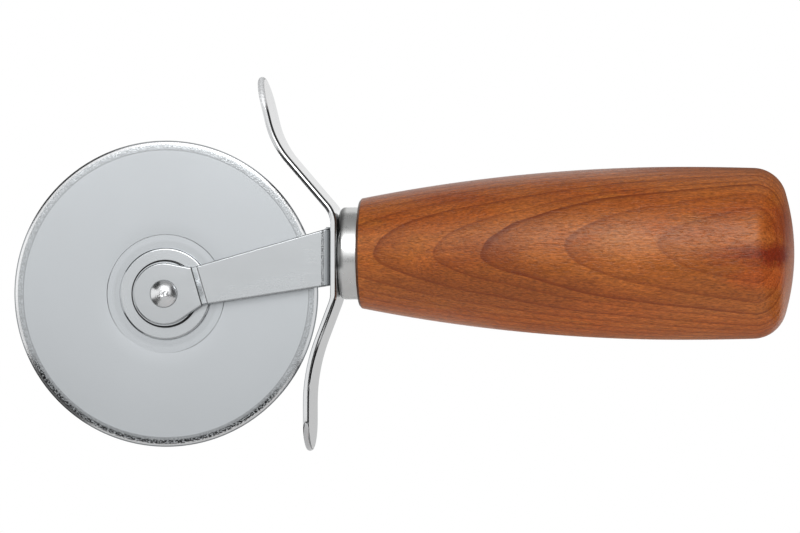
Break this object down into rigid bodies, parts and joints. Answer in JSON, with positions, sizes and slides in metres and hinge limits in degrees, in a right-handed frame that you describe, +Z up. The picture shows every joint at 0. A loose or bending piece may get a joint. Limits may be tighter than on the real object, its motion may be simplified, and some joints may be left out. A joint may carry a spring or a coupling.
{
  "type": "pizza wheel",
  "caption": "Hand-held pizza wheel: round bevelled steel blade on a riveted axle in a bent fork, with a thumb and finger guard, a ferrule and a turned wooden handle.",
  "frame": {"origin": "on the handle's axis, half way along the wooden handle, where the hand closes on it", "axes": "+X along the handle from the blade to the handle's end, Y along the wheel's axle, +Z up with the thumb rest above and the finger guard below"},
  "size_m": [0.1782, 0.0392, 0.0853],
  "materials": {
    "handle_wood": "oiled, satin",
    "ferrule_steel": "turned, satin",
    "guard_steel": "polished stainless steel",
    "fork_steel": "fine satin",
    "tang_steel": "turned",
    "rivet_steel": "peened and polished",
    "bearing_steel": "turned",
    "hub_steel": "fine satin",
    "blade_steel": "fine satin with a ground bevel"
  },
  "bodies": {
    "handle_body": {"handle": "handle_wood", "ferrule": "ferrule_steel", "guard": "guard_steel", "fork": "fork_steel", "tang": "tang_steel", "axle_rivet": "rivet_steel", "axle_sleeve": "bearing_steel", "spacer_washer_front": "hub_steel", "spacer_washer_rear": "hub_steel"},
    "wheel_body": {"blade": "blade_steel", "hub_bush": "bearing_steel", "hub_flange_front": "hub_steel", "hub_flange_rear": "hub_steel"}
  },
  "joints": [
    {"name": "wheel_spin", "type": "hinge", "parent": "handle_body", "child": "wheel_body", "pos_m": [-0.0939, 0, -0.0092], "axis": [0, 1, 0], "continuous": true}
  ]
}
